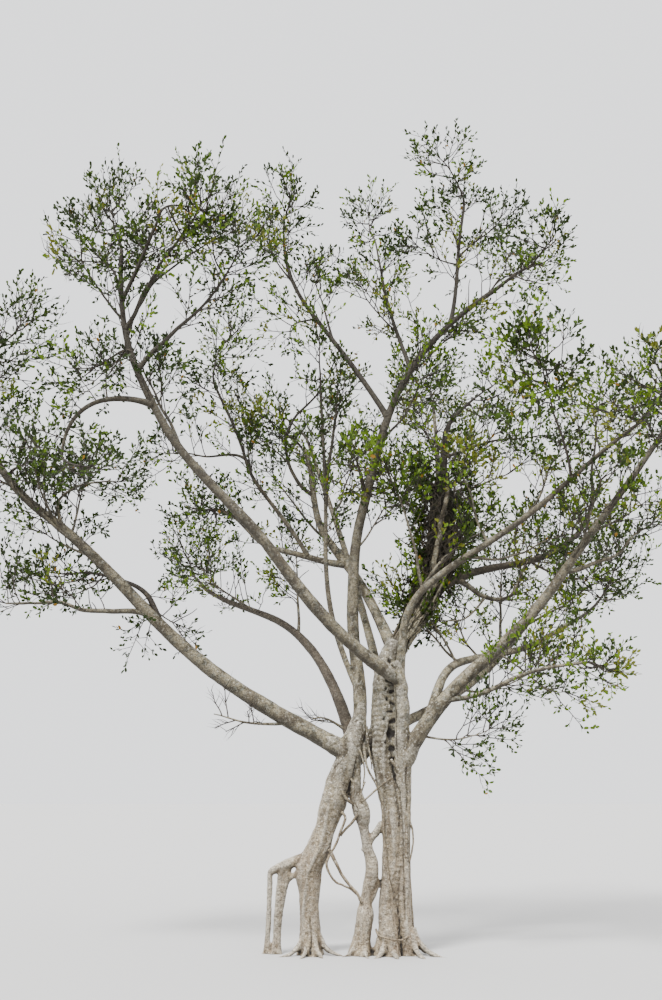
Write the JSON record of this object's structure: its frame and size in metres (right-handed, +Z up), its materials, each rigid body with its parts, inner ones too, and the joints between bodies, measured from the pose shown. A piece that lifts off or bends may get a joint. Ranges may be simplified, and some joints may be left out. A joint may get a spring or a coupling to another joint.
{
  "type": "fig tree",
  "caption": "Fig tree with a trunk of fused aerial roots on spreading legs, long bare rising boughs and an airy crown of small leaf masses.",
  "frame": {"origin": "on the ground, in the flat cut under the trunk's main column", "axes": "+Z up; +X to the right and +Y away as the picture's viewer sees the tree"},
  "size_m": [9.2567, 6.2816, 9.6405],
  "materials": {
    "bark": "grey-beige smooth bark with fine dark lines and lichen spots",
    "dark_bark": "darker brown bark of the shaded boughs",
    "root_tangle": "matt tangle of hanging roots and leaves",
    "foliage": "leathery leaves, mid to olive green"
  },
  "bodies": {
    "root": {"back_centre": "bark", "back_high": "bark", "back_left": "dark_bark", "back_right": "bark", "centre": "bark", "centre_left": "bark", "crown": "bark", "dark_right": "dark_bark", "foliage_back_centre": "foliage", "foliage_back_high": "foliage", "foliage_back_left": "foliage", "foliage_back_right": "foliage", "foliage_centre": "foliage", "foliage_centre_left": "foliage", "foliage_centre_right": "foliage", "foliage_crown": "foliage", "foliage_dark_right": "foliage", "foliage_far_left": "foliage", "foliage_fork": "foliage", "foliage_grey": "foliage", "foliage_grey_left": "foliage", "foliage_inner_left": "foliage", "foliage_left_arch": "foliage", "foliage_left_rise": "foliage", "foliage_left_shoulder": "foliage", "foliage_left_side": "foliage", "foliage_low_left": "foliage", "foliage_low_right": "foliage", "foliage_low_under": "foliage", "foliage_mid_left": "foliage", "foliage_right_diagonal": "foliage", "foliage_right_side": "foliage", "foliage_slender": "foliage", "foliage_tangled": "foliage", "foliage_top": "foliage", "foliage_upper_left": "foliage", "grey": "bark", "grey_left": "bark", "left_arch": "bark", "left_rise": "bark", "leg_back": "bark", "leg_far_left": "bark", "leg_left": "bark", "leg_middle": "bark", "low_left": "bark", "low_right": "bark", "low_under": "bark", "mid_left": "bark", "right_diagonal": "bark", "right_side": "bark", "slender": "bark", "tangle": "root_tangle", "tangled": "dark_bark", "top": "bark", "trunk": "bark", "upper_left": "bark"}
  },
  "joints": []
}
